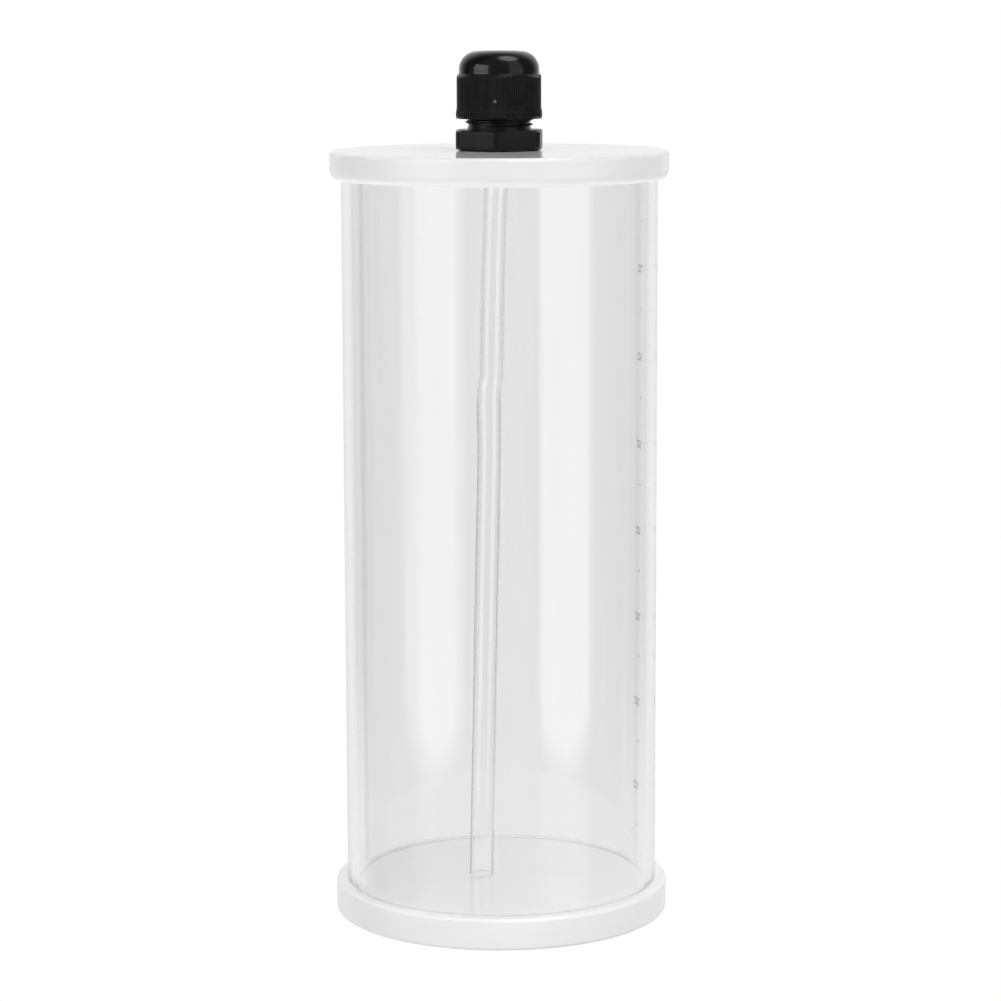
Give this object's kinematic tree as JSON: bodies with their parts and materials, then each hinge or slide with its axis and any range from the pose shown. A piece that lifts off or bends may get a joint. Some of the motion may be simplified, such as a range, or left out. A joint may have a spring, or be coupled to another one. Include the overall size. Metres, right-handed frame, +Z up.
{
  "type": "manual rain gauge",
  "caption": "Clear graduated cylinder between white end discs, with a black cable gland in the lid that clamps a clear dip tube reaching the floor.",
  "frame": {"origin": "centre of the base plate's underside, on the cylinder's axis", "axes": "+Z up along the cylinder's axis, -Y towards the viewer, +X towards the printed scale"},
  "size_m": [0.0862, 0.0862, 0.2224],
  "materials": {
    "white_acrylic": "polished white cast acrylic",
    "clear_acrylic": "clear polished acrylic",
    "scale_ink": "thin dark print",
    "silicone": "translucent white silicone",
    "black_nylon": "moulded black nylon, satin",
    "black_rubber": "matte black rubber",
    "clear_hose": "clear flexible hose"
  },
  "bodies": {
    "vessel": {"base_plate": "white_acrylic", "cylinder": "clear_acrylic", "printed_scale": "scale_ink"},
    "lid_assembly": {"lid": "white_acrylic", "lid_gasket": "silicone", "gland_body": "black_nylon", "gland_washer": "black_rubber"},
    "clamp_insert": {"clamp_cage": "black_nylon", "clamp_seal": "black_rubber"},
    "seal_nut": {"dome_nut": "black_nylon"},
    "dip_tube": {"dip_tube": "clear_hose"}
  },
  "joints": [
    {"name": "lid_lift", "type": "slide", "parent": "vessel", "child": "lid_assembly", "axis": [0, 0, 1], "range_m": [0, 0.2]},
    {"name": "clamp_travel", "type": "slide", "parent": "lid_assembly", "child": "clamp_insert", "axis": [0, 0, 1], "range_m": [-0.00072, 0.00566]},
    {"name": "nut_turn", "type": "hinge", "parent": "clamp_insert", "child": "seal_nut", "pos_m": [0, 0, 0.2114], "axis": [0, 0, 1], "range_deg": [-180, 1440]},
    {"name": "tube_slide", "type": "slide", "parent": "lid_assembly", "child": "dip_tube", "axis": [0, 0, 1], "range_m": [0, 0.012]}
  ],
  "couplings": [
    {"joint": "clamp_travel", "follows": "nut_turn", "m_per_rad": 0.00022457}
  ]
}
